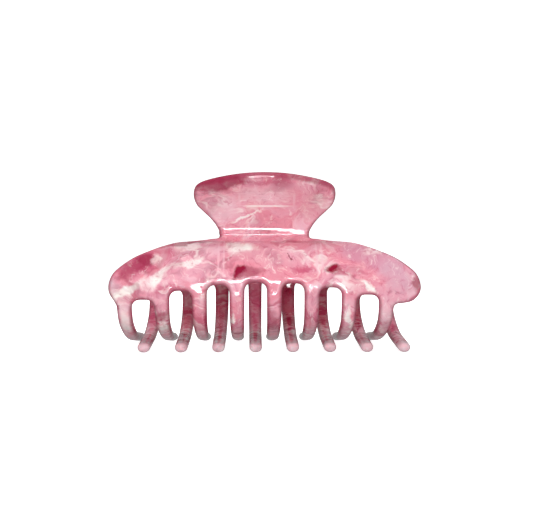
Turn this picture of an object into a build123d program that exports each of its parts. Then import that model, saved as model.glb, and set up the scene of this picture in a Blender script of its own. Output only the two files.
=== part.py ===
"""Claw clip: two curved combs of acetate sheet on a sprung hinge.

Millimetres, +Z up. X runs along the hinge. The front jaw is on the -Y side and the rear jaw
is the same comb turned half a turn about Z, so its teeth stand in the front jaw's gaps.
The origin is the middle of the clip at the level of the lowest teeth.
"""
import os
from math import acos, atan2, cos, degrees, hypot, radians, sin

from build123d import *

# Sheet and its bends, in the side view of the front jaw. Each bend is a radius and an angle.
SHEET = 3.2                     # thickness of the acetate
BULGE_Y = -20.3                 # foremost point of the sheet's middle line
DOME_BEND = (15.2, 72.5)        # from the bulge over the hair towards the neck
NECK_BEND = (4.4, 72.5)         # back to upright, hollow side outwards
LEAN_BEND = (14.0, 30.0)        # handle starts to lean outwards
HANDLE_BEND = (30.0, 20.0)      # shallow bend of the thumb rest
HANDLE_RUN = 13.0               # straight sheet above the last bend, before it is cut to shape
CHEEK_BEND = (20.0, 17.0)       # from the bulge down to the teeth
TOOTH_BEND = (10.5, 45.0)       # teeth turn in under the hair
SWEEP_BEND = (54.3, 21.5)       # long bend that brings the teeth almost level
TIP_REACH = 20.5                # Y of the tooth ends of the front jaw
CAP_PAST = 0.6                  # sheet's round end lies this far past them, so the roundings cross

# Outline of a jaw
HALF_LENGTH = 52.1
NECK_HALF = 15.6                # half width of the neck
NECK_FOOT_Z = 38.3              # where the wings leave the neck
NECK_CORNER = 0.8
WING_END_Z = 21.9               # height of the farthest point of a wing
HANDLE_HALF = 24.2              # half width of the handle
HANDLE_TOP = 7.6                # top of the handle above its last bend, along the sheet

# Teeth
TEETH = 8
PITCH = 12.5
TOOTH_SHIFT = -PITCH / 4        # half of the half pitch that sets the two combs apart
ROOT_WIDTH = 5.05
MID_WIDTH = 4.6                 # where the teeth begin to taper in plan
TIP_WIDTH = 4.2
GAP_CORNER = 2.5
GAP_TOP_Z = 23.535              # top of a gap in the middle of the clip
GAP_FALL = 0.00345              # gap tops fall by this times X squared
GAP_DEPTH = 30.0                # how far down a gap is cut
TAPER_Y = -8.0                  # teeth taper in plan from here to their ends

# Hinge
HINGE_Z = 40.7
PIN_RADIUS = 1.0
BORE_RADIUS = 1.05
HEAD_RADIUS = 1.9
HEAD_HEIGHT = 1.0
LUG_THICK = 3.0
LUG_OUTER = 15.0                # outer face of the outer lugs
LUG_GAP = 0.2                   # between two lugs side by side
EYE_RADIUS = 3.6
LUG_FOOT_HALF = 4.6             # half height of a lug at the sheet
END_PLAY = 0.1                  # between a pin head and its lug

# Spring
WIRE = 1.2
COIL_RADIUS = 3.35              # to the middle of the wire
WHOLE_TURNS = 11                # and the part turn that brings the second leg to its handle
COIL_HALF = 7.8                 # half length of the coil, between wire middles
LEG_CLEARANCE = 0.06            # between a leg and the handle it bears on
LEG_END_ANGLE = 44.0            # how far the leg follows the handle's lean
BEAD = 0.05                     # how far the bead at a leg's root stands out from the wire


def bend_end(start, heading, radius, turn):
    """End of an arc in (Y, Z). Headings run from +Z towards -Y, in degrees."""
    after = heading + turn
    side = 1 if turn > 0 else -1
    y = start[0] + side * radius * (cos(radians(after)) - cos(radians(heading)))
    z = start[1] + side * radius * (sin(radians(after)) - sin(radians(heading)))
    return y, z


def tooth_end():
    """Y, fall in Z below the bulge and heading at the end of the bends of a tooth."""
    y, fall, heading = BULGE_Y, 0.0, 0.0
    for radius, turn in (CHEEK_BEND, TOOTH_BEND, SWEEP_BEND):
        y += radius * (cos(radians(heading)) - cos(radians(heading + turn)))
        fall += radius * (sin(radians(heading + turn)) - sin(radians(heading)))
        heading += turn
    return y, fall, heading


# The lowest point is the underside of a tooth's round end, and it is at Z = 0
BENDS_END_Y, BENDS_FALL, TIP_HEADING = tooth_end()
TIP_RUN = (TIP_REACH + CAP_PAST - SHEET / 2 - BENDS_END_Y) / sin(radians(TIP_HEADING))
BULGE_Z = SHEET / 2 + TIP_RUN * cos(radians(TIP_HEADING)) + BENDS_FALL

# Key points of the sheet's middle line
SHOULDER = bend_end((BULGE_Y, BULGE_Z), 0.0, DOME_BEND[0], -DOME_BEND[1])
NECK = bend_end(SHOULDER, -DOME_BEND[1], *NECK_BEND)
LEAN_END = bend_end(NECK, 0.0, *LEAN_BEND)
HANDLE_ANGLE = LEAN_BEND[1] + HANDLE_BEND[1]
HANDLE_FOOT = bend_end(LEAN_END, LEAN_BEND[1], *HANDLE_BEND)

# The sheet in section: one closed band round the middle line
with BuildSketch(Plane.YZ) as band:
    with BuildLine():
        dome = JernArc((BULGE_Y, BULGE_Z), (0, 1), DOME_BEND[0], -DOME_BEND[1])
        neck = JernArc(dome @ 1, dome % 1, *NECK_BEND)
        lean = JernArc(neck @ 1, neck % 1, *LEAN_BEND)
        rest = JernArc(lean @ 1, lean % 1, *HANDLE_BEND)
        PolarLine(rest @ 1, HANDLE_RUN, direction=rest % 1)
        cheek = JernArc((BULGE_Y, BULGE_Z), (0, -1), *CHEEK_BEND)
        tooth = JernArc(cheek @ 1, cheek % 1, *TOOTH_BEND)
        sweep_in = JernArc(tooth @ 1, tooth % 1, *SWEEP_BEND)
        PolarLine(sweep_in @ 1, TIP_RUN, direction=sweep_in % 1)
        offset(amount=SHEET / 2, side=Side.BOTH)
    make_face()


def tooth_centre(i):
    return (i - (TEETH - 1) / 2) * PITCH + TOOTH_SHIFT


# One gap between two teeth, its top at the sketch origin, wider downwards
with BuildSketch() as gap:
    top_half = (PITCH - ROOT_WIDTH) / 2
    foot_half = (PITCH - MID_WIDTH) / 2
    with BuildLine():
        Polyline((-top_half, 0), (top_half, 0), (foot_half, -GAP_DEPTH), (-foot_half, -GAP_DEPTH),
                 close=True)
    make_face()
    fillet(gap.vertices().group_by(Axis.Y)[-1], GAP_CORNER)

# Outline of wings and teeth in the front view
LEFT_EDGE = tooth_centre(0) - ROOT_WIDTH / 2
RIGHT_EDGE = tooth_centre(TEETH - 1) + ROOT_WIDTH / 2
FOOT_Z = -5.0
with BuildSketch(Plane.XZ) as comb:
    with BuildLine():
        side = Line((NECK_HALF, NECK[1]), (NECK_HALF, NECK_FOOT_Z + NECK_CORNER))
        corner = TangentArc(side @ 1, (NECK_HALF + NECK_CORNER, NECK_FOOT_Z), tangent=(0, -1))
        wing = Spline(corner @ 1, (28.2, 36.5), (39.9, 33.3), (47.9, 29.0),
                      (HALF_LENGTH, WING_END_Z), tangents=[(1, -0.08), (0, -1)])
        for line in (side, corner, wing):
            mirror(line, about=Plane.YZ)
        Line((-NECK_HALF, NECK[1]), (NECK_HALF, NECK[1]))
        tail = Spline(wing @ 1, (49.4, 17.5), (RIGHT_EDGE + 1.2, 16.6), tangents=[(0, -1), (-1, 0)])
        inside = TangentArc(tail @ 1, (RIGHT_EDGE, 15.4), tangent=(-1, 0))
        Polyline(inside @ 1, (RIGHT_EDGE, FOOT_Z), (LEFT_EDGE, FOOT_Z), (LEFT_EDGE, 15.8))
        Spline((-HALF_LENGTH, WING_END_Z), (-50.6, 18.2), (LEFT_EDGE, 15.8),
               tangents=[(0, -1), (0, -1)])
    make_face()
    for i in range(TEETH - 1):
        x = tooth_centre(i) + PITCH / 2
        with Locations((x, GAP_TOP_Z - GAP_FALL * x * x)):
            add(gap.sketch, mode=Mode.SUBTRACT)

# Outline of the handle, drawn on the leaning sheet above its last bend
LEAN = radians(HANDLE_ANGLE)
handle_plane = Plane(origin=(0, *HANDLE_FOOT), x_dir=(1, 0, 0), z_dir=(0, -cos(LEAN), -sin(LEAN)))
NECK_DROP = (NECK[1] - HANDLE_FOOT[1]) * cos(LEAN) - (NECK[0] - HANDLE_FOOT[0]) * sin(LEAN)
with BuildSketch(handle_plane) as thumb:
    with BuildLine():
        crown = ThreePointArc((-18.7, HANDLE_TOP - 3.4), (0, HANDLE_TOP), (18.7, HANDLE_TOP - 3.4))
        flank = Spline(crown @ 1, (HANDLE_HALF, -2.8), (21.5, -8.8), (18.4, -12.0),
                       (NECK_HALF, NECK_DROP), tangents=[crown % 1, (0, -1)])
        post = Line(flank @ 1, (NECK_HALF, NECK_DROP - 3.0))
        mirror(flank, about=Plane.YZ)
        mirror(post, about=Plane.YZ)
        Line(post @ 1, (-NECK_HALF, NECK_DROP - 3.0))
    make_face()

# Plan outline that tapers the teeth and rounds their ends
with BuildSketch() as between_tips:
    with BuildLine():
        Polyline((-60, TAPER_Y), (60, TAPER_Y), (60, 30), (-60, 30), close=True)
    make_face()
    for i in range(TEETH):
        x = tooth_centre(i)
        end_y = TIP_REACH - TIP_WIDTH / 2
        with BuildLine():
            near = Line((x - MID_WIDTH / 2, TAPER_Y), (x - TIP_WIDTH / 2, end_y))
            round_end = ThreePointArc(near @ 1, (x, TIP_REACH), (x + TIP_WIDTH / 2, end_y))
            far = Line(round_end @ 1, (x + MID_WIDTH / 2, TAPER_Y))
            Line(far @ 1, near @ 0)
        make_face(mode=Mode.SUBTRACT)

with BuildPart() as kept:
    extrude(comb.sketch, amount=30, both=True)
    extrude(thumb.sketch, amount=16, both=True)

with BuildPart() as front_jaw:
    extrude(band.sketch, amount=HALF_LENGTH + 2, both=True)
    add(kept.part, mode=Mode.INTERSECT)
    extrude(between_tips.sketch, amount=10, both=True, mode=Mode.SUBTRACT)

with BuildPart() as rear_jaw:
    add(front_jaw.part.rotate(Axis.Z, 180))


# Hinge lugs: an eye on a foot that is shaped to the inner face of the neck
with BuildSketch(Plane.YZ) as lug_face:
    with BuildLine():
        Polyline((NECK[0], HINGE_Z - LUG_FOOT_HALF), (0, HINGE_Z - EYE_RADIUS),
                 (0, HINGE_Z + EYE_RADIUS), (NECK[0], HINGE_Z + LUG_FOOT_HALF), close=True)
    make_face()
    with Locations((0, HINGE_Z)):
        Circle(EYE_RADIUS)
        Circle(BORE_RADIUS, mode=Mode.SUBTRACT)
    add(band.sketch_local, mode=Mode.SUBTRACT)

inner_lug_x = LUG_OUTER - 2 * LUG_THICK - LUG_GAP
with BuildPart() as front_hinge_lug_left:
    extrude(lug_face.sketch.moved(Location((-LUG_OUTER, 0, 0))), amount=LUG_THICK)
with BuildPart() as front_hinge_lug_right:
    extrude(lug_face.sketch.moved(Location((inner_lug_x, 0, 0))), amount=LUG_THICK)
with BuildPart() as rear_hinge_lug_right:
    add(front_hinge_lug_left.part.rotate(Axis.Z, 180))
with BuildPart() as rear_hinge_lug_left:
    add(front_hinge_lug_right.part.rotate(Axis.Z, 180))

# Pin with a domed head at each end, drawn as half its section and turned about the hinge line
HEAD_X = LUG_OUTER + END_PLAY
with BuildPart() as hinge_pin:
    with BuildSketch(Plane(origin=(0, 0, HINGE_Z), x_dir=(1, 0, 0), z_dir=(0, -1, 0))):
        with BuildLine():
            Polyline((-HEAD_X, HEAD_RADIUS), (-HEAD_X, PIN_RADIUS), (HEAD_X, PIN_RADIUS),
                     (HEAD_X, HEAD_RADIUS))
            for end in (-1, 1):
                TangentArc((end * (HEAD_X + HEAD_HEIGHT), 0), (end * HEAD_X, HEAD_RADIUS),
                           tangent=(0, 1))
            Line((-HEAD_X - HEAD_HEIGHT, 0), (HEAD_X + HEAD_HEIGHT, 0))
        make_face()
    revolve(axis=Axis((0, 0, HINGE_Z), (1, 0, 0)))

# Spring: a coil round the pin, and a leg from each end of it up the inner face of a handle.
# A leg leaves the coil in a straight line that is tangent to the neck's bend as well, and then
# keeps to the bends of the handle. Both are drawn about the sketch origin and then placed.
LEG_OFFSET = SHEET / 2 + LEG_CLEARANCE + WIRE / 2
lean_radius = LEAN_BEND[0] + LEG_OFFSET
lean_centre = (NECK[0] - LEAN_BEND[0], NECK[1])
centre_angle = atan2(HINGE_Z - lean_centre[1], -lean_centre[0])
centre_distance = hypot(lean_centre[0], HINGE_Z - lean_centre[1])
leg_heading = centre_angle + acos((lean_radius + COIL_RADIUS) / centre_distance)
LEG_ANGLE = degrees(leg_heading)
leg_start = (-COIL_RADIUS * cos(leg_heading), HINGE_Z - COIL_RADIUS * sin(leg_heading))
leg_meet = (lean_centre[0] + lean_radius * cos(leg_heading),
            lean_centre[1] + lean_radius * sin(leg_heading))

with BuildPart() as leg:
    with BuildLine() as leg_line:
        straight = Line(leg_start, leg_meet)
        first = JernArc(straight @ 1, straight % 1, lean_radius, LEAN_BEND[1] - LEG_ANGLE)
        second = JernArc(first @ 1, first % 1, HANDLE_BEND[0] + LEG_OFFSET,
                         LEG_END_ANGLE - LEAN_BEND[1])
    with BuildSketch(Plane(origin=straight @ 0, z_dir=straight % 0)):
        Circle(WIRE / 2)
    sweep(path=leg_line.line)
    with Locations(straight @ 0):
        Sphere(WIRE / 2 + BEAD)
    with Locations(second @ 1):
        Sphere(WIRE / 2)

turns = WHOLE_TURNS + 0.5 - LEG_ANGLE / 180
with BuildPart() as coil:
    with BuildLine() as coil_line:
        winding = Helix(2 * COIL_HALF / turns, 2 * COIL_HALF, COIL_RADIUS)
    with BuildSketch(Plane(origin=winding @ 0, z_dir=winding % 0)):
        Circle(WIRE / 2)
    sweep(path=coil_line.line, is_frenet=True)

coil_plane = Plane(origin=(-COIL_HALF, 0, HINGE_Z), z_dir=(1, 0, 0),
                   x_dir=(0, -cos(leg_heading), -sin(leg_heading)))
front_leg = leg.part.moved(Plane.YZ.offset(-COIL_HALF).location)
with BuildPart() as torsion_spring:
    add(coil.part.moved(coil_plane.location))
    add(front_leg)
    add(front_leg.rotate(Axis.Z, 180))

# Names and files
PIECES = {
    "front_jaw": front_jaw,
    "rear_jaw": rear_jaw,
    "front_hinge_lug_left": front_hinge_lug_left,
    "front_hinge_lug_right": front_hinge_lug_right,
    "rear_hinge_lug_left": rear_hinge_lug_left,
    "rear_hinge_lug_right": rear_hinge_lug_right,
    "hinge_pin": hinge_pin,
    "torsion_spring": torsion_spring,
}
os.makedirs("parts", exist_ok=True)
for name, piece in PIECES.items():
    piece.part.label = name
    export_step(piece.part, f"parts/{name}.step")
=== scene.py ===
"""Looks of the claw clip: polished marbled acetate jaws, hinge lugs, steel pin and spring.

Lengths on the clip are written in millimetres and turned to metres where a mesh is made. The studio
at the end is in metres.
"""
from math import acos, atan2, cos, degrees, hypot, pi, radians, sin

import bpy
import numpy as np
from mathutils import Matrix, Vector
from mathutils.geometry import delaunay_2d_cdt


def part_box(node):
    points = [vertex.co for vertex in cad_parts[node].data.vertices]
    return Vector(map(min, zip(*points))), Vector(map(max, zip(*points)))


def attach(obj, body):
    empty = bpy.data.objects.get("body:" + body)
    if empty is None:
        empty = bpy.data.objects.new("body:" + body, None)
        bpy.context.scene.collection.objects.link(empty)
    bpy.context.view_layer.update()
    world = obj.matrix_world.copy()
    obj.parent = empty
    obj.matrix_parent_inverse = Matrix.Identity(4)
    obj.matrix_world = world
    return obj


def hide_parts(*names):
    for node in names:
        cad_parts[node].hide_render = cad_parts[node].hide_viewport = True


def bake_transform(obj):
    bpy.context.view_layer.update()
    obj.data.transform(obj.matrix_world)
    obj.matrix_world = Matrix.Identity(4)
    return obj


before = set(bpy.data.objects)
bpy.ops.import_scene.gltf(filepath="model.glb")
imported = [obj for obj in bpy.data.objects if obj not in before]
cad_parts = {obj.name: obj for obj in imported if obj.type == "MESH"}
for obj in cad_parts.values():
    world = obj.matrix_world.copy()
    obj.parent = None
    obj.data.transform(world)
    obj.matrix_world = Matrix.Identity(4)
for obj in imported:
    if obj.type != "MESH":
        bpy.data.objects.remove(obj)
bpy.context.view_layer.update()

MM = 0.001
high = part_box("front_jaw")[1] / MM
pin_low, pin_high = (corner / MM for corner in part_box("hinge_pin"))

# ---------------------------------------------------------------- the sheet of a jaw
# Its middle line in side view, from the bulge upwards and downwards: radius, change of heading.
# A heading is the way up along the sheet, in degrees from +Z towards -Y.
SHEET = 3.2
BENDS_UP = ((15.2, -72.5), (4.4, 72.5), (14.0, 30.0), (30.0, 20.0))
BENDS_DOWN = ((20.0, 17.0), (10.5, 45.0), (54.3, 21.5))
TIP_Y = high.y
BULGE = (-20.3, 21.304)
HANDLE_TOP = 7.6
HALF_LENGTH = high.x

TEETH = 8
PITCH = 12.5
TOOTH_SHIFT = -PITCH / 4
ROOT_WIDTH, MID_WIDTH, TIP_WIDTH = 5.05, 4.6, 4.2

GAP_MIDDLE_Z, GAP_FALL = 23.535, 0.00345     # height of the middle gap's top, and its fall with x squared
GAP_CORNER = 2.5
GAP_JOIN = 2.6       # how far below the top of a gap the sides of its teeth stop
NECK_FOOT_Z = 38.3
WING_END_Z = 21.9
NECK_HALF, CROWN_HALF, HANDLE_HALF = 15.6, 18.7, 24.2
CROWN_FALL = 3.4     # from the middle of the crown to its corner

EDGE_REACH = 1.9     # how far the polished rounding runs in from an edge
EDGE_WALL = 0.12     # half of the flat that is left on the edge itself


def sheet_arcs():
    """Rows (s, y, z, heading, curvature) where each stretch of the middle line starts.

    s is 0 at the bulge and grows towards the handle.
    """
    rows = []
    s, (y, z), heading = 0.0, BULGE, 0.0
    for radius, turn in BENDS_DOWN:
        after = heading + radians(turn)
        y += radius * (cos(heading) - cos(after))
        z -= radius * (sin(after) - sin(heading))
        s -= radius * radians(turn)
        rows.insert(0, (s, y, z, after, -1 / radius))
        heading = after
    run = (TIP_Y - y) / sin(heading)
    rows.insert(0, (s - run, TIP_Y, z - run * cos(heading), heading, 0.0))
    s, (y, z), heading = 0.0, BULGE, 0.0
    for radius, turn in BENDS_UP:
        curve = np.sign(turn) / radius
        rows.append((s, y, z, heading, curve))
        after = heading + radians(turn)
        y += (cos(after) - cos(heading)) / curve
        z += (sin(after) - sin(heading)) / curve
        s += radius * abs(radians(turn))
        heading = after
    rows.append((s, y, z, heading, 0.0))
    return np.array(rows)


ARCS = sheet_arcs()
S_TIP = ARCS[0, 0]
S_NECK, S_HANDLE = ARCS[6, 0], ARCS[8, 0]


def on_sheet(s):
    """y, z and heading of the middle line at s."""
    s = np.asarray(s, float)
    row = ARCS[np.clip(np.searchsorted(ARCS[:, 0], s, side="right") - 1, 0, len(ARCS) - 1)]
    start, y, z, heading, curve = row.T
    now = heading + curve * (s - start)
    bent = np.abs(curve) > 1e-9
    safe = np.where(bent, curve, 1.0)
    y = y + np.where(bent, (np.cos(now) - np.cos(heading)) / safe, -np.sin(heading) * (s - start))
    z = z + np.where(bent, (np.sin(now) - np.sin(heading)) / safe, np.cos(heading) * (s - start))
    return y, z, now


def rise(z):
    """s at a height z of the middle line."""
    s = np.linspace(S_TIP, S_HANDLE + 12, 4000)
    return np.interp(z, on_sheet(s)[1], s)


def bend_sheet(x, s, h):
    """Points of the front jaw for places (x, s) on the flat sheet, h outwards from its middle."""
    y, z, heading = on_sheet(s)
    return np.stack([x, y - h * np.cos(heading), z - h * np.sin(heading)], axis=-1)


def bend_normals(s, across, up, out):
    """Directions of the front jaw for directions on the flat sheet: along X, along s, outwards."""
    heading = on_sheet(s)[2]
    y = -up * np.sin(heading) - out * np.cos(heading)
    z = up * np.cos(heading) - out * np.sin(heading)
    return np.stack([across, y, z], axis=-1)


# ---------------------------------------------------------------- outlines
def curve_through(points, start, end, steps=16):
    """A smooth line through the points, leaving along start and arriving along end."""
    p = np.array(points, float)
    chord = np.linalg.norm(np.diff(p, axis=0), axis=1)
    t = np.concatenate([[0], np.cumsum(np.sqrt(chord))])
    slope = np.zeros_like(p)
    for i in range(1, len(p) - 1):
        before = (p[i] - p[i - 1]) / (t[i] - t[i - 1])
        after = (p[i + 1] - p[i]) / (t[i + 1] - t[i])
        share = (t[i] - t[i - 1]) / (t[i + 1] - t[i - 1])
        slope[i] = before * (1 - share) + after * share
    for i, j, way in ((0, 1, start), (-1, -2, end)):
        way = np.array(way, float)
        slope[i] = way / np.linalg.norm(way) * np.linalg.norm(p[i] - p[j]) / abs(t[i] - t[j])
    line = []
    for i in range(len(p) - 1):
        u = np.linspace(0, 1, steps, endpoint=False)[:, None]
        span = t[i + 1] - t[i]
        line.append((2 * u**3 - 3 * u**2 + 1) * p[i] + (u**3 - 2 * u**2 + u) * span * slope[i]
                    + (3 * u**2 - 2 * u**3) * p[i + 1] + (u**3 - u**2) * span * slope[i + 1])
    return np.concatenate(line + [p[-1:]])


def arc(centre, radius, first, last, steps=14):
    """Points of an arc between two angles in degrees."""
    a = np.radians(np.linspace(first, last, steps))
    return np.array(centre) + radius * np.stack([np.cos(a), np.sin(a)], axis=1)


def even(points, spacing):
    """The closed line through the points, with points spaced evenly."""
    p = np.concatenate([points, points[:1]])
    length = np.concatenate([[0], np.cumsum(np.linalg.norm(np.diff(p, axis=0), axis=1))])
    at = np.linspace(0, length[-1], int(length[-1] / spacing), endpoint=False)
    return np.stack([np.interp(at, length, p[:, k]) for k in (0, 1)], axis=1)


def soften(points, rounds):
    for _ in range(rounds):
        points = (np.roll(points, 1, 0) + 2 * points + np.roll(points, -1, 0)) / 4
    return points


def tooth_centre(i):
    return (i - (TEETH - 1) / 2) * PITCH + TOOTH_SHIFT


S_TAPER = np.interp(8.0, -on_sheet(np.linspace(S_TIP, 0, 2000))[0], np.linspace(S_TIP, 0, 2000))


def tooth_half(s):
    """Half width of a tooth at s."""
    return np.interp(s, [S_TIP, S_TAPER, -3.0], [TIP_WIDTH / 2, MID_WIDTH / 2, ROOT_WIDTH / 2])


def level(z):
    """rise as a plain number."""
    return float(rise(z))


def gap_top(x):
    return rise(GAP_MIDDLE_Z - GAP_FALL * x * x)


def side_outline():
    """Right half of the outline of handle, neck and wing on the flat sheet, from the crown down."""
    crown = S_HANDLE + HANDLE_TOP
    top = np.array([(x, crown - CROWN_FALL * (x / CROWN_HALF) ** 2) for x in np.linspace(0, 17.5, 16)])
    flank = curve_through([(CROWN_HALF, crown - CROWN_FALL), (23.2, crown - 6.2),
                           (HANDLE_HALF, S_HANDLE - 2.6), (23.4, rise(50.3)), (21.4, rise(48.2)),
                           (18.4, rise(45.2)), (16.5, rise(42.5)), (NECK_HALF, S_NECK + 0.3)],
                          (1, -0.36), (0, -1))
    corner = arc((16.5, rise(NECK_FOOT_Z) + 0.9), 0.9, 180, 270, 8)
    wing_line = curve_through([(17.4, 38.25), (21.2, 37.6), (28.2, 36.5), (34.9, 35.0), (39.9, 33.3),
                               (43.9, 31.6), (47.9, 29.0), (50.9, 26.1), (HALF_LENGTH, WING_END_Z)],
                              (1, -0.1), (0, -1))
    wing = np.stack([wing_line[:, 0], rise(wing_line[:, 1])], axis=1)
    return np.concatenate([top, flank, corner, wing])


def jaw_outline():
    """The closed outline of a jaw on the flat sheet, clockwise from the crown, as points (x, s)."""
    side = side_outline()
    right_edge = tooth_centre(TEETH - 1) + ROOT_WIDTH / 2
    left_edge = tooth_centre(0) - ROOT_WIDTH / 2
    tail = curve_through([(HALF_LENGTH, rise(WING_END_Z)), (51.4, rise(19.6)), (49.4, rise(17.5)),
                          (46.8, rise(16.8)), (right_edge + 1.6, rise(16.6))], (0, -1), (-1, -0.05))
    parts = [side, tail[1:], arc((right_edge + 1.4, rise(16.6) - 1.4), 1.4, 90, 180, 8)]
    for i in range(TEETH - 1, -1, -1):
        x = tooth_centre(i)
        last, first = i == TEETH - 1, i == 0
        down = np.linspace(rise(14.7) if last else -5.5, S_TIP + TIP_WIDTH / 2, 60)
        right = down if last else down[down < gap_top(x + PITCH / 2) - GAP_JOIN]
        left = down[down < (rise(15.5) if first else gap_top(x - PITCH / 2) - GAP_JOIN)]
        parts.append(np.stack([x + tooth_half(right), right], axis=1))
        parts.append(arc((x, S_TIP + TIP_WIDTH / 2), TIP_WIDTH / 2, 0, -180)[1:-1])
        parts.append(np.stack([x - tooth_half(left), left], axis=1)[::-1])
        if not first:
            middle = x - PITCH / 2
            half = PITCH / 2 - ROOT_WIDTH / 2
            corner = gap_top(middle) - GAP_CORNER
            parts.append(arc((middle + half - GAP_CORNER, corner), GAP_CORNER, 0, 90))
            parts.append(arc((middle - half + GAP_CORNER, corner), GAP_CORNER, 90, 180))
    parts.append(curve_through([(left_edge, rise(15.8)), (left_edge - 0.5, rise(16.9)), (-50.7, rise(18.2)),
                                (-51.8, rise(20.1)), (-HALF_LENGTH, rise(WING_END_Z))], (0, 1), (0, 1)))
    parts.append((side * (-1, 1))[::-1][1:-1])
    return np.concatenate(parts)


# ---------------------------------------------------------------- rounded plates
def inward(points):
    """Unit directions into a clockwise closed line."""
    way = np.roll(points, -1, 0) - np.roll(points, 1, 0)
    way /= np.linalg.norm(way, axis=1)[:, None]
    return np.stack([way[:, 1], -way[:, 0]], axis=1)


def inside(points, line):
    """True for the points inside a closed line."""
    x, y = points[:, 0][:, None], points[:, 1][:, None]
    x0, y0 = line[:, 0], line[:, 1]
    x1, y1 = np.roll(x0, -1), np.roll(y0, -1)
    step = np.where(y1 == y0, 1e-12, y1 - y0)
    hit = ((y0 > y) != (y1 > y)) & (x < (x1 - x0) * (y - y0) / step + x0)
    return hit.sum(axis=1) % 2 == 1


def filled(line, spacing):
    """Triangles that fill a closed line, with a staggered grid of points inside it."""
    lo, hi = line.min(0), line.max(0)
    rows = np.arange(lo[1], hi[1], spacing * 0.87)
    grid = []
    for k, y in enumerate(rows):
        across = np.arange(lo[0] + (k % 2) * spacing / 2, hi[0], spacing)
        grid.append(np.stack([across, np.full(len(across), y)], axis=1))
    grid = np.concatenate(grid)
    grid = grid[inside(grid, line)]
    gap = np.array([np.min(np.sum((line - p) ** 2, axis=1)) for p in grid])
    grid = grid[gap > (0.55 * spacing) ** 2]
    count = len(line)
    points = np.concatenate([line, grid])
    ring = [(i, (i + 1) % count) for i in range(count)]
    done = delaunay_2d_cdt([Vector(p) for p in points], ring, [], 1, 1e-7)
    return np.array([v[:] for v in done[0]]), np.array([f[:] for f in done[2]])


def plate(outline, thick, reach, wall, spacing, rings=9):
    """A flat plate with polished round edges: points (a, b, h), normals, faces and the rim share.

    reach is how far the rounding runs in, wall half of the flat left on the edge.
    """
    into = soften(inward(outline), 1)
    angle = np.linspace(0, pi / 2, rings + 1)
    steps = reach * (1 - np.cos(angle))
    lift = wall + (thick / 2 - wall) * np.sin(angle)
    flat = outline + into * reach
    inner, triangles = filled(flat, spacing)
    count = len(outline)
    points, normals, rim = [], [], []
    for side in (1, -1):
        for k in range(rings):
            ring = outline + into * steps[k]
            points.append(np.column_stack([ring, np.full(count, side * lift[k])]))
            across = cos(angle[k]) / reach
            out = sin(angle[k]) / (thick / 2 - wall)
            size = hypot(across, out)
            normals.append(np.column_stack([-into * across / size, np.full(count, side * out / size)]))
            rim.append(np.full(count, 1 - steps[k] / reach))
        points.append(np.column_stack([inner, np.full(len(inner), side * thick / 2)]))
        normals.append(np.tile((0.0, 0.0, side), (len(inner), 1)))
        rim.append(np.zeros(len(inner)))
    layer = rings * count + len(inner)
    faces = []
    around = np.arange(count)
    after = (around + 1) % count
    for side, base in ((1, 0), (-1, layer)):
        for k in range(rings):
            a = base + k * count + around
            b = base + k * count + after
            c = base + (k + 1) * count + after
            d = base + (k + 1) * count + around
            quads = np.column_stack([a, d, c, b] if side == 1 else [a, b, c, d])
            faces.extend(quads.tolist())
        fill = triangles + base + rings * count
        faces.extend((fill if side == 1 else fill[:, ::-1]).tolist())
    quads = np.column_stack([around, after, layer + after, layer + around])
    faces.extend(quads.tolist())
    return np.concatenate(points), np.concatenate(normals), faces, np.concatenate(rim)


def new_piece(name, points, faces, normals=None, body=None):
    """A mesh object from points in millimetres."""
    mesh = bpy.data.meshes.new(name)
    mesh.from_pydata((np.asarray(points) * MM).tolist(), [], faces)
    mesh.validate()
    for polygon in mesh.polygons:
        polygon.use_smooth = True
    if normals is not None:
        mesh.normals_split_custom_set_from_vertices(normals.tolist())
    piece = bpy.data.objects.new(name, mesh)
    bpy.context.scene.collection.objects.link(piece)
    if body:
        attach(piece, body)
    return piece


def store(piece, name, values):
    """Keeps one vector for each point of the piece, for its material to read."""
    layer = piece.data.attributes.new(name, "FLOAT_VECTOR", "POINT")
    layer.data.foreach_set("vector", np.asarray(values, np.float32).ravel())


def make_jaws():
    outline = soften(even(jaw_outline(), 0.45), 2)
    flat, flat_normals, faces, rim = plate(outline, SHEET, EDGE_REACH, EDGE_WALL, 0.8)
    x, s, h = flat.T
    points = bend_sheet(x, s, h)
    normals = bend_normals(s, *flat_normals.T)
    jaws = []
    for name, turn in (("front_jaw", 1), ("rear_jaw", -1)):
        way = np.array((turn, turn, 1.0))
        jaw = new_piece(name + "_acetate", points * way, faces, normals * way, name)
        store(jaw, "sheet", flat)
        store(jaw, "rim", np.column_stack([rim, rim, rim]))
        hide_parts(name)
        jaws.append(jaw)
    return jaws


# ---------------------------------------------------------------- materials
def paint(red, green, blue):
    """A linear colour from 0 to 255 display values."""
    def linear(v):
        v /= 255
        return v / 12.92 if v <= 0.04045 else ((v + 0.055) / 1.055) ** 2.4
    return (linear(red), linear(green), linear(blue), 1.0)


SALMON = paint(229, 146, 162)
PINK = paint(232, 166, 182)
CREAM = paint(255, 249, 244)
MAUVE = paint(198, 84, 116)
MAGENTA = paint(150, 16, 62)
CRIMSON = paint(142, 0, 44)
PALE = paint(240, 198, 208)
LILAC = paint(208, 142, 164)
# a paler tone used as painted light on the rear tooth ends
TIP = paint(226, 196, 202)
DARK = (MAGENTA, CRIMSON)     # marks in these colours lie over the fine grain


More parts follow.
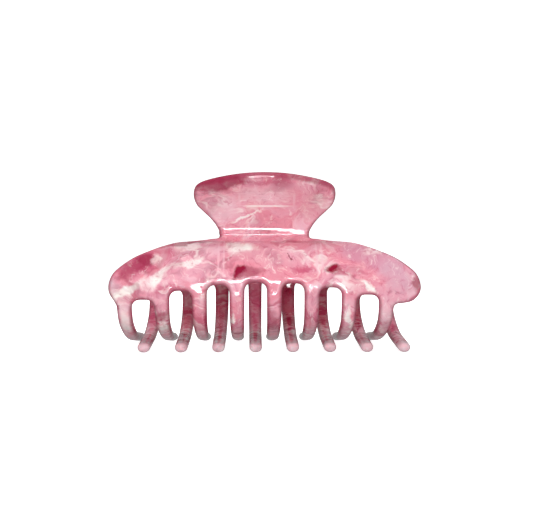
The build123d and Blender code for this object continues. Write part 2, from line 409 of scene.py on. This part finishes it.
class Nodes:
    """Short words for building the nodes of one material."""

    def __init__(self, name):
        self.material = bpy.data.materials.new(name)
        self.material.use_nodes = True
        self.tree = self.material.node_tree
        self.shader = self.tree.nodes["Principled BSDF"]

    def put(self, socket, value):
        if isinstance(value, bpy.types.NodeSocket):
            self.tree.links.new(value, socket)
        else:
            socket.default_value = value

    def add(self, kind, inputs, **settings):
        node = self.tree.nodes.new(kind)
        for key, value in settings.items():
            setattr(node, key, value)
        for key, value in inputs.items():
            self.put(node.inputs[key], value)
        return node

    def place(self, name):
        return self.add("ShaderNodeAttribute", {}, attribute_name=name).outputs["Vector"]

    def vector(self, operation, a, b):
        return self.add("ShaderNodeVectorMath", {0: a, 1: b}, operation=operation).outputs["Vector"]

    def math(self, operation, a, b=0.0):
        return self.add("ShaderNodeMath", {0: a, 1: b}, operation=operation).outputs["Value"]

    def noise(self, at, scale, detail=4.0, twist=0.0, rough=0.55):
        return self.add("ShaderNodeTexNoise", {"Vector": at, "Scale": scale, "Detail": detail,
                                               "Roughness": rough, "Distortion": twist})

    def ease(self, value, first, last):
        node = self.add("ShaderNodeMapRange", {"Value": value, "From Min": first, "From Max": last},
                        interpolation_type="SMOOTHSTEP")
        return node.outputs["Result"]

    def mix(self, share, a, b):
        return self.add("ShaderNodeMix", {0: share, 6: a, 7: b}, data_type="RGBA").outputs[2]

    def ridge(self, at, scale, width, twist=0.0):
        """Thin wandering lines: 1 on the line and 0 away from it."""
        off = self.math("SUBTRACT", self.noise(at, scale, 3.0, twist).outputs["Fac"], 0.5)
        return self.ease(self.math("ABSOLUTE", off), width, 0.0)

    def patch(self, at, centre, half, turn):
        """1 inside a soft ellipse on the sheet and 0 outside it."""
        local = self.add("ShaderNodeMapping", {"Vector": at, "Location": (*centre, 0), "Scale": (*half, 60),
                                               "Rotation": (0, 0, radians(turn))}, vector_type="TEXTURE")
        length = self.add("ShaderNodeVectorMath", {0: local.outputs["Vector"]}, operation="LENGTH")
        return self.ease(length.outputs["Value"], 1.25, 0.45)

    def lay(self, colour, at, marks):
        """The colour with each of the marks laid over it in turn."""
        for centre, half, turn, tint, strength in marks:
            spot = self.patch(at, centre, half, turn)
            colour = self.mix(self.math("MULTIPLY", spot, strength), colour, tint)
        return colour


def front_marks():
    """Clouds and spots of the front sheet: middle (x, s), half sizes, turn in degrees, colour, strength.

    The wings and body come first, then the teeth, then the handle. A few are painted light and shade.
    """
    top = S_HANDLE
    return [
        ((-38.5, level(30.4)), (12, 4.6), 24, MAUVE, 0.85),
        ((-40.0, level(30.2)), (3.6, 2.6), 20, MAGENTA, 0.8),
        ((-45.0, level(27.5)), (5, 2.2), 40, MAGENTA, 0.55),
        ((-28.0, level(35.2)), (11, 1.5), 14, MAGENTA, 0.65),
        ((-36.7, level(30.5)), (1.3, 2.4), -20, CREAM, 0.55),
        ((-45.5, level(20.6)), (7, 1.9), 26, CREAM, 0.95),
        ((-35.2, level(25.2)), (5.5, 1.6), 40, CREAM, 0.85),
        ((-26.0, level(29.2)), (7, 1.3), 18, CREAM, 0.7),
        ((-51.0, level(22.7)), (2.4, 4), 0, paint(214, 190, 200), 0.6),
        ((-33.0, level(21.0)), (6, 2), 8, MAUVE, 0.6),
        ((-7.9, level(34.0)), (5.6, 3.4), 5, CREAM, 1.0),
        ((4.0, level(31.5)), (13, 3.6), 0, PALE, 0.5),
        ((-18.0, level(33.0)), (5, 2.4), 15, PALE, 0.6),
        ((0.0, level(28.5)), (17, 6.5), 0, SALMON, 0.45),
        ((-8.5, level(26.9)), (2.8, 1.7), 35, CRIMSON, 1.0),
        ((-4.6, level(26.4)), (5.5, 2.2), 10, MAGENTA, 0.6),
        ((8.2, level(31.4)), (0.7, 0.7), 0, CRIMSON, 0.8),
        ((13.0, level(27.0)), (4.0, 1.3), 10, MAUVE, 0.8),
        ((22.0, level(27.4)), (3.4, 1.6), -4, CRIMSON, 1.0),
        ((28.5, level(26.8)), (6, 1.2), -6, MAUVE, 0.6),
        ((34.6, level(21.7)), (4, 1.0), -30, CREAM, 0.8),
        ((35.5, level(31.0)), (12, 4.6), -20, LILAC, 0.75),
        ((50.0, level(22.4)), (1.8, 2.6), 0, CRIMSON, 0.65),
        ((44.0, level(26.0)), (8, 5), -30, paint(214, 168, 184), 0.7),
        ((-49.3, level(16.4)), (0.9, 0.9), 0, CRIMSON, 0.7),
        ((-46.9, level(11.0)), (2.8, 7), 0, CREAM, 0.6),
        ((-34.4, level(13.2)), (2.6, 2.6), 0, MAGENTA, 0.7),
        ((-34.4, level(9.4)), (2.6, 2.0), 0, CREAM, 0.8),
        ((-19.8, level(11.5)), (1.2, 4), 0, MAGENTA, 0.6),
        ((-10.9, level(11.0)), (0.9, 3), 0, CREAM, 0.9),
        ((-9.0, level(7.2)), (2.2, 2), 0, MAGENTA, 0.6),
        ((3.1, level(11.0)), (2.6, 7), 20, MAGENTA, 0.5),
        ((28.1, level(12.0)), (1.1, 5), 12, CREAM, 0.7),
        ((40.6, level(12.0)), (2.8, 7), 0, PALE, 0.7),
        # painted light: paler ends on the front teeth, where light shines through
        *[((tooth_centre(i), S_TIP + 3.0), (3.6, 6.0), 0, PALE, 0.7) for i in range(TEETH)],
        # painted shade: a magenta band along the upper left edge of the handle
        ((-15.0, top + 4.2), (11, 3.4), 12, MAGENTA, 0.8),
        # painted reflection: a pale patch in the middle of the handle
        ((0.0, top - 1.5), (11, 4.5), 0, PALE, 0.7),
        ((2.0, top + 4.8), (13, 1.6), 0, MAUVE, 0.55),
        ((14.0, top + 3.0), (9, 3.4), 0, PINK, 0.7),
        ((17.0, top - 5.0), (6, 6.5), 0, paint(224, 157, 168), 0.75),
        ((-15.0, top - 7.0), (6.5, 5.5), 0, PALE, 0.8),
        # painted highlight: a slanting cream streak on the left of the handle
        ((-6.2, level(46.9)), (6.5, 0.8), 30, CREAM, 0.75),
    ]


def rear_marks():
    """Marks of the rear sheet: painted shade, with some crimson of its own, over the middle of each tooth,
    then painted light on its end.
    """
    tints = [MAUVE, CRIMSON, CRIMSON, CRIMSON, MAUVE, CRIMSON, CRIMSON, MAUVE]
    middle = level(12.0)
    # painted shade over the rear teeth, on top of some darker marbling of their own
    painted_tooth_shade = [((tooth_centre(i), middle), (4.8, 19.0), 0, tints[i], 0.66) for i in range(TEETH)]
    # painted light: paler rear tooth ends, where light shines through
    painted_tip_light = [((tooth_centre(i), S_TIP + 1.0), (4.8, 5.0), 0, TIP, 0.7) for i in range(TEETH)]
    return painted_tooth_shade + painted_tip_light


def front_painted_reflections():
    """Painted reflections on the front sheet, as straight pale lines: four down the body and a frame on the
    handle.
    """
    body = level(31.5)
    top = S_HANDLE
    # painted highlights: four pale lines down the body
    down = [((x, body), (0.45, 7.5), 0, PALE, 0.5) for x in (-15.6, -13.8, 17.4, 19.2)]
    return down + [
        # painted reflection: a pale frame on the handle
        ((0.6, top - 6.3), (9.2, 0.5), 0, CREAM, 0.65),
        ((0.6, top - 0.1), (8.4, 0.4), 0, PALE, 0.45),
        ((-8.6, top - 3.2), (0.5, 3.2), 0, PALE, 0.5),
        ((10.0, top - 3.2), (0.5, 3.2), 0, PALE, 0.45),
    ]


def acetate(name, marks, lines, seed, deep):
    """Polished marbled acetate.

    marks have wandering edges and lines keep their shape. seed moves the random clouds, and deep is how
    far they go towards dark crimson.
    """
    n = Nodes(name)
    sheet = n.vector("ADD", n.place("sheet"), (seed, seed * 0.7, seed * 1.3))
    shift = n.noise(sheet, 0.07, 3.0).outputs["Color"]
    swirl = n.vector("MULTIPLY", n.vector("SUBTRACT", shift, (0.5, 0.5, 0.5)), (26, 20, 12))
    warped = n.vector("ADD", sheet, swirl)
    edge = n.vector("MULTIPLY", n.vector("SUBTRACT", n.noise(sheet, 0.22, 4.0).outputs["Color"],
                                         (0.5, 0.5, 0.5)), (7, 6, 2))
    near = n.vector("ADD", n.place("sheet"), edge)

    cloud = n.noise(warped, 0.075, 5.0, 0.5).outputs["Fac"]
    colour = n.mix(n.ease(cloud, 0.42, 0.58), SALMON, PINK)
    light = n.ease(n.noise(warped, 0.11, 4.0, 0.8).outputs["Fac"], 0.54, 0.70)
    colour = n.mix(n.math("MULTIPLY", light, 0.7), colour, PALE)
    dark = n.ease(n.noise(n.vector("ADD", warped, (40, 9, 0)), 0.09, 5.0, 0.9).outputs["Fac"],
                  0.58 - 0.10 * deep, 0.72 - 0.08 * deep)
    colour = n.mix(n.math("MULTIPLY", dark, 0.62 + 0.28 * deep), colour, MAUVE)
    darker = n.ease(n.noise(n.vector("ADD", warped, (11, 50, 0)), 0.13, 5.0, 1.1).outputs["Fac"],
                    0.64 - 0.12 * deep, 0.76 - 0.10 * deep)
    colour = n.mix(n.math("MULTIPLY", darker, 0.5 + 0.4 * deep), colour, MAGENTA)
    colour = n.lay(colour, near, [mark for mark in marks if mark[3] not in DARK])

    drawn = n.vector("MULTIPLY", warped, (0.55, 1.25, 1.0))
    veins = n.math("MULTIPLY", n.ridge(n.vector("ADD", drawn, (7, 3, 0)), 0.07, 0.075, 0.4),
                   n.ease(n.noise(sheet, 0.06, 2.0).outputs["Fac"], 0.45, 0.62))
    colour = n.mix(n.math("MULTIPLY", veins, 0.42), colour, MAGENTA)
    wisps = n.math("MULTIPLY", n.ridge(n.vector("ADD", drawn, (23, 31, 0)), 0.07, 0.055, 0.3),
                   n.ease(n.noise(n.vector("ADD", sheet, (90, 0, 0)), 0.05, 2.0).outputs["Fac"], 0.44, 0.60))
    colour = n.mix(n.math("MULTIPLY", wisps, 0.55), colour, CREAM)

    fine = n.noise(n.vector("ADD", warped, (5, 70, 0)), 0.34, 6.0, 1.2, 0.65).outputs["Fac"]
    colour = n.mix(n.math("MULTIPLY", n.ease(fine, 0.53, 0.72), 0.55), colour, CREAM)
    colour = n.mix(n.math("MULTIPLY", n.ease(fine, 0.47, 0.32), 0.50), colour, MAUVE)
    colour = n.lay(colour, near, [mark for mark in marks if mark[3] in DARK])
    colour = n.lay(colour, n.place("sheet"), lines)

    # painted shade: the rounded edges are tinted towards magenta, fading out towards the tooth tips
    rim = n.add("ShaderNodeSeparateXYZ", {"Vector": n.place("rim")}).outputs["X"]
    along = n.add("ShaderNodeSeparateXYZ", {"Vector": n.place("sheet")}).outputs["Y"]
    clear = n.ease(along, S_TIP + 1.0, S_TIP + 16.0)
    painted_rim_shade = n.math("MULTIPLY", n.ease(rim, 0.25, 0.95), n.math("MULTIPLY", clear, 0.72))
    colour = n.mix(painted_rim_shade, colour, MAGENTA)

    n.put(n.shader.inputs["Base Color"], colour)
    n.shader.inputs["Subsurface Weight"].default_value = 0.30
    n.shader.inputs["Subsurface Radius"].default_value = (1.0, 0.45, 0.5)
    n.shader.inputs["Subsurface Scale"].default_value = 0.0018
    n.shader.inputs["IOR"].default_value = 1.49
    rough = n.add("ShaderNodeMapRange", {"Value": n.noise(sheet, 0.3, 3.0).outputs["Fac"], "From Min": 0.3,
                                         "From Max": 0.7, "To Min": 0.05, "To Max": 0.10})
    n.put(n.shader.inputs["Roughness"], rough.outputs["Result"])
    wave = n.noise(sheet, 0.16, 2.0).outputs["Fac"]
    bump = n.add("ShaderNodeBump", {"Height": wave, "Strength": 0.12, "Distance": 0.0006})
    n.put(n.shader.inputs["Normal"], bump.outputs["Normal"])
    return n.material


def lug_acetate():
    """The same acetate, sawn and lightly polished, read from the lug's own place in metres."""
    n = Nodes("sawn_acetate")
    spot = n.add("ShaderNodeTexCoord", {}).outputs["Object"]
    cloud = n.noise(spot, 260.0, 5.0, 0.8).outputs["Fac"]
    colour = n.mix(n.ease(cloud, 0.38, 0.62), MAUVE, PINK)
    colour = n.mix(n.math("MULTIPLY", n.ridge(spot, 190.0, 0.03, 0.8), 0.5), colour, MAGENTA)
    n.put(n.shader.inputs["Base Color"], colour)
    n.shader.inputs["Subsurface Weight"].default_value = 0.2
    n.shader.inputs["Subsurface Scale"].default_value = 0.0015
    n.shader.inputs["IOR"].default_value = 1.49
    saw = n.noise(n.vector("MULTIPLY", spot, (1, 1, 14)), 900.0, 3.0).outputs["Fac"]
    rough = n.add("ShaderNodeMapRange", {"Value": saw, "To Min": 0.14, "To Max": 0.34})
    n.put(n.shader.inputs["Roughness"], rough.outputs["Result"])
    bump = n.add("ShaderNodeBump", {"Height": saw, "Strength": 0.15, "Distance": 0.0001})
    n.put(n.shader.inputs["Normal"], bump.outputs["Normal"])
    return n.material


def steel(name, light, dark, low_rough, high_rough, stretch):
    """Metal with fine marks drawn out along one way and slight staining."""
    n = Nodes(name)
    spot = n.add("ShaderNodeTexCoord", {}).outputs["Object"]
    marks = n.noise(n.vector("MULTIPLY", spot, stretch), 1400.0, 4.0).outputs["Fac"]
    stain = n.noise(spot, 300.0, 3.0).outputs["Fac"]
    n.put(n.shader.inputs["Base Color"], n.mix(n.ease(stain, 0.35, 0.7), light, dark))
    n.shader.inputs["Metallic"].default_value = 1.0
    rough = n.add("ShaderNodeMapRange", {"Value": marks, "To Min": low_rough, "To Max": high_rough})
    n.put(n.shader.inputs["Roughness"], rough.outputs["Result"])
    bump = n.add("ShaderNodeBump", {"Height": marks, "Strength": 0.12, "Distance": 0.00005})
    n.put(n.shader.inputs["Normal"], bump.outputs["Normal"])
    return n.material


# ---------------------------------------------------------------- hinge and spring
def dress_hinge():
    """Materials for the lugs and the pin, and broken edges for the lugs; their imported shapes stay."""
    acetate_sawn = lug_acetate()
    plated = steel("plated_steel", paint(214, 214, 216), paint(176, 174, 176), 0.10, 0.24, (1, 6, 6))
    for node, material in [(side + "_hinge_lug_" + hand, acetate_sawn) for side in ("front", "rear")
                           for hand in ("left", "right")] + [("hinge_pin", plated)]:
        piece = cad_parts[node]
        piece.data.materials.clear()
        piece.data.materials.append(material)
        if node != "hinge_pin":
            bevel = piece.modifiers.new("broken_edges", "BEVEL")
            bevel.width = 0.3 * MM
            bevel.segments = 3
            bevel.limit_method = "ANGLE"


WIRE, COIL_RADIUS, COIL_HALF, WHOLE_TURNS = 1.2, 3.35, 7.8, 11
LEG_CLEARANCE = 0.06
LEG_OFFSET = SHEET / 2 + LEG_CLEARANCE + WIRE / 2
LEAN_RADIUS, LEAN_TURN = BENDS_UP[2]
HANDLE_RADIUS = BENDS_UP[3][0]
LEG_END_ANGLE = 44.0
hinge_z = (pin_low.z + pin_high.z) / 2


def leg_line():
    """Middle of the front leg in (y, z), from its free end down to the coil, and its heading there."""
    neck_y, neck_z = (float(v) for v in on_sheet(S_NECK)[:2])
    centre = (neck_y - LEAN_RADIUS, neck_z)
    reach = LEAN_RADIUS + LEG_OFFSET
    aim = atan2(hinge_z - centre[1], -centre[0])
    heading = aim + acos((reach + COIL_RADIUS) / hypot(centre[0], hinge_z - centre[1]))
    root = (-COIL_RADIUS * cos(heading), hinge_z - COIL_RADIUS * sin(heading))
    line = [root]
    for a in np.linspace(heading, radians(LEAN_TURN), 8):
        line.append((centre[0] + reach * cos(a), centre[1] + reach * sin(a)))
    turn = line[-1]
    long = HANDLE_RADIUS + LEG_OFFSET
    middle = (turn[0] - long * cos(radians(LEAN_TURN)), turn[1] - long * sin(radians(LEAN_TURN)))
    for a in np.linspace(radians(LEAN_TURN), radians(LEG_END_ANGLE), 8)[1:]:
        line.append((middle[0] + long * cos(a), middle[1] + long * sin(a)))
    return line[::-1], heading


def make_spring():
    """One round wire: up a handle, round the pin and up the other handle."""
    leg, heading = leg_line()
    front = [(-COIL_HALF, y, z) for y, z in leg]
    rear = [(COIL_HALF, -y, z) for y, z in leg[::-1]]
    turns = WHOLE_TURNS + 0.5 - degrees(heading) / 180
    coil = []
    for t in np.linspace(0, 1, int(turns * 28))[1:-1]:
        a = heading + pi + t * turns * 2 * pi
        coil.append((-COIL_HALF + 2 * COIL_HALF * t, COIL_RADIUS * cos(a), hinge_z + COIL_RADIUS * sin(a)))
    line = np.array(front + coil + rear)
    sizes = np.full(len(line), WIRE / 2)
    # a round end on each leg
    for a in (30, 60, 88):
        advance = WIRE / 2 * (sin(radians(a)) - sin(radians(max(a - 30, 0))))
        first, last = line[0] - line[1], line[-1] - line[-2]
        line = np.vstack([line[0] + first / np.linalg.norm(first) * advance, line,
                          line[-1] + last / np.linalg.norm(last) * advance])
        sizes = np.concatenate([[WIRE / 2 * cos(radians(a))], sizes, [WIRE / 2 * cos(radians(a))]])
    way = np.gradient(line, axis=0)
    way /= np.linalg.norm(way, axis=1)[:, None]
    side = np.array((1.0, 0, 0)) - way[0] * way[0][0]
    points, faces, count = [], [], 16
    around = np.linspace(0, 2 * pi, count, endpoint=False)
    for k, (place, along) in enumerate(zip(line, way)):
        side = side - along * side.dot(along)
        side /= np.linalg.norm(side)
        up = np.cross(along, side)
        points.extend(place + sizes[k] * (cos(a) * side + sin(a) * up) for a in around)
    for k in range(len(line) - 1):
        for j in range(count):
            j2 = (j + 1) % count
            faces.append([k * count + j, k * count + j2, (k + 1) * count + j2, (k + 1) * count + j])
    faces.append(list(range(count))[::-1])
    faces.append([(len(line) - 1) * count + j for j in range(count)])
    spring = new_piece("spring_wire", np.array(points), faces)
    spring.data.materials.append(steel("drawn_wire", paint(190, 190, 194), paint(150, 150, 156),
                                       0.16, 0.34, (6, 1, 1)))
    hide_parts("torsion_spring")
    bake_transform(spring)
    return spring


front_marble, rear_marble = make_jaws()
front_marble.data.materials.append(
    acetate("marbled_acetate_front", front_marks(), front_painted_reflections(), 0.0, 0.0))
# the rear sheet goes deeper towards crimson: partly its own marbling, partly painted shade
rear_marble.data.materials.append(acetate("marbled_acetate_rear", [], rear_marks(), 63.0, 1.0))
dress_hinge()
make_spring()


# ---------------------------------------------------------------- studio, in metres
def glow(name, strength):
    """A material that only gives off white light."""
    material = bpy.data.materials.new(name)
    material.use_nodes = True
    tree = material.node_tree
    tree.nodes.clear()
    shine = tree.nodes.new("ShaderNodeEmission")
    shine.inputs["Strength"].default_value = strength
    out = tree.nodes.new("ShaderNodeOutputMaterial")
    tree.links.new(shine.outputs["Emission"], out.inputs["Surface"])
    return material


def backdrop():
    """A pale round floor that curves up into a wall on every side."""
    flat, curve, wall_top, sides = 0.55, 0.3, 1.5, 96
    line = [(flat - 0.05, 0.0), (flat, 0.0)]
    line += [(flat + curve * sin(a), curve - curve * cos(a)) for a in np.linspace(0, pi / 2, 16)[1:]]
    line.append((flat + curve, wall_top))
    around = np.linspace(0, 2 * pi, sides, endpoint=False)
    points = [(r * cos(a), r * sin(a), z) for r, z in line for a in around]
    faces = []
    for k in range(len(line) - 1):
        here, above = sides * k, sides * (k + 1)
        for j in range(sides):
            j2 = (j + 1) % sides
            faces.append((here + j, above + j, above + j2, here + j2))
    faces.append(tuple(range(sides)))
    mesh = bpy.data.meshes.new("backdrop")
    mesh.from_pydata(points, [], faces)
    for polygon in mesh.polygons:
        polygon.use_smooth = True
    piece = bpy.data.objects.new("backdrop", mesh)
    n = Nodes("pale_floor")
    spot = n.add("ShaderNodeTexCoord", {}).outputs["Object"]
    n.put(n.shader.inputs["Base Color"], n.mix(n.noise(spot, 18.0, 3.0).outputs["Fac"],
                                               (0.90, 0.90, 0.90, 1), (0.93, 0.93, 0.93, 1)))
    n.shader.inputs["Roughness"].default_value = 0.9
    n.shader.inputs["Specular IOR Level"].default_value = 0.0
    n.shader.inputs["Emission Color"].default_value = (1, 1, 1, 1)
    n.shader.inputs["Emission Strength"].default_value = 0.86
    mesh.materials.append(n.material)
    # it is seen, but the clip does not mirror it and gets neither light nor shade from it
    piece.visible_glossy = False
    piece.visible_diffuse = False
    piece.visible_shadow = False
    bpy.context.scene.collection.objects.link(piece)


def ring_light(at, inner, outer, tall, strength):
    """A flat ring that faces +Y and stands tall times higher than it is wide."""
    mesh = bpy.data.meshes.new("ring_light")
    points = [(at[0] + r * cos(a), at[1], at[2] + tall * r * sin(a)) for r in (inner, outer)
              for a in np.linspace(0, 2 * pi, 64, endpoint=False)]
    faces = [(j, (j + 1) % 64, 64 + (j + 1) % 64, 64 + j) for j in range(64)]
    mesh.from_pydata(points, [], faces)
    piece = bpy.data.objects.new("ring_light", mesh)
    mesh.materials.append(glow("ring_glow", strength))
    piece.visible_camera = False
    bpy.context.scene.collection.objects.link(piece)


def soft_light(name, at, aim, size, power):
    data = bpy.data.lights.new(name, "AREA")
    data.shape = "RECTANGLE"
    data.size, data.size_y = size
    data.energy = power
    lamp = bpy.data.objects.new(name, data)
    lamp.location = at
    lamp.visible_glossy = False
    lamp.rotation_euler = (Vector(aim) - Vector(at)).to_track_quat("-Z", "Y").to_euler()
    bpy.context.scene.collection.objects.link(lamp)


backdrop()
EYE = Vector((-0.0049, -0.3, 0.033735))
LOOK_DOWN, LOOK_RIGHT = 0.853, 1.1     # degrees
SENSOR, IMAGE_WIDTH = 36, 533
FOCAL = 840                            # in the same unit as IMAGE_WIDTH
ring_light(EYE, 0.031, 0.040, 2.0, 47.0)
soft_light("overhead", (0.0, -0.06, 0.42), (0, 0, 0.03), (0.34, 0.20), 0.55)
soft_light("left_side", (-0.34, -0.14, 0.20), (0, 0, 0.03), (0.16, 0.24), 0.22)
soft_light("right_side", (0.36, -0.10, 0.18), (0, 0, 0.03), (0.14, 0.22), 0.12)
soft_light("behind", (0.05, 0.36, 0.24), (0, 0, 0.03), (0.20, 0.20), 0.50)

world = bpy.data.worlds.new("studio")
bpy.context.scene.world = world
world.use_nodes = True
world.node_tree.nodes["Background"].inputs["Color"].default_value = (1, 1, 1, 1)
world.node_tree.nodes["Background"].inputs["Strength"].default_value = 0.34
bpy.context.scene.view_settings.view_transform = "Standard"

lens = bpy.data.cameras.new("camera")
lens.lens = FOCAL * SENSOR / IMAGE_WIDTH
lens.clip_start = 0.01
camera = bpy.data.objects.new("camera", lens)
camera.location = EYE
camera.rotation_euler = (pi / 2 - radians(LOOK_DOWN), 0, -radians(LOOK_RIGHT))
bpy.context.scene.collection.objects.link(camera)
bpy.context.scene.camera = camera
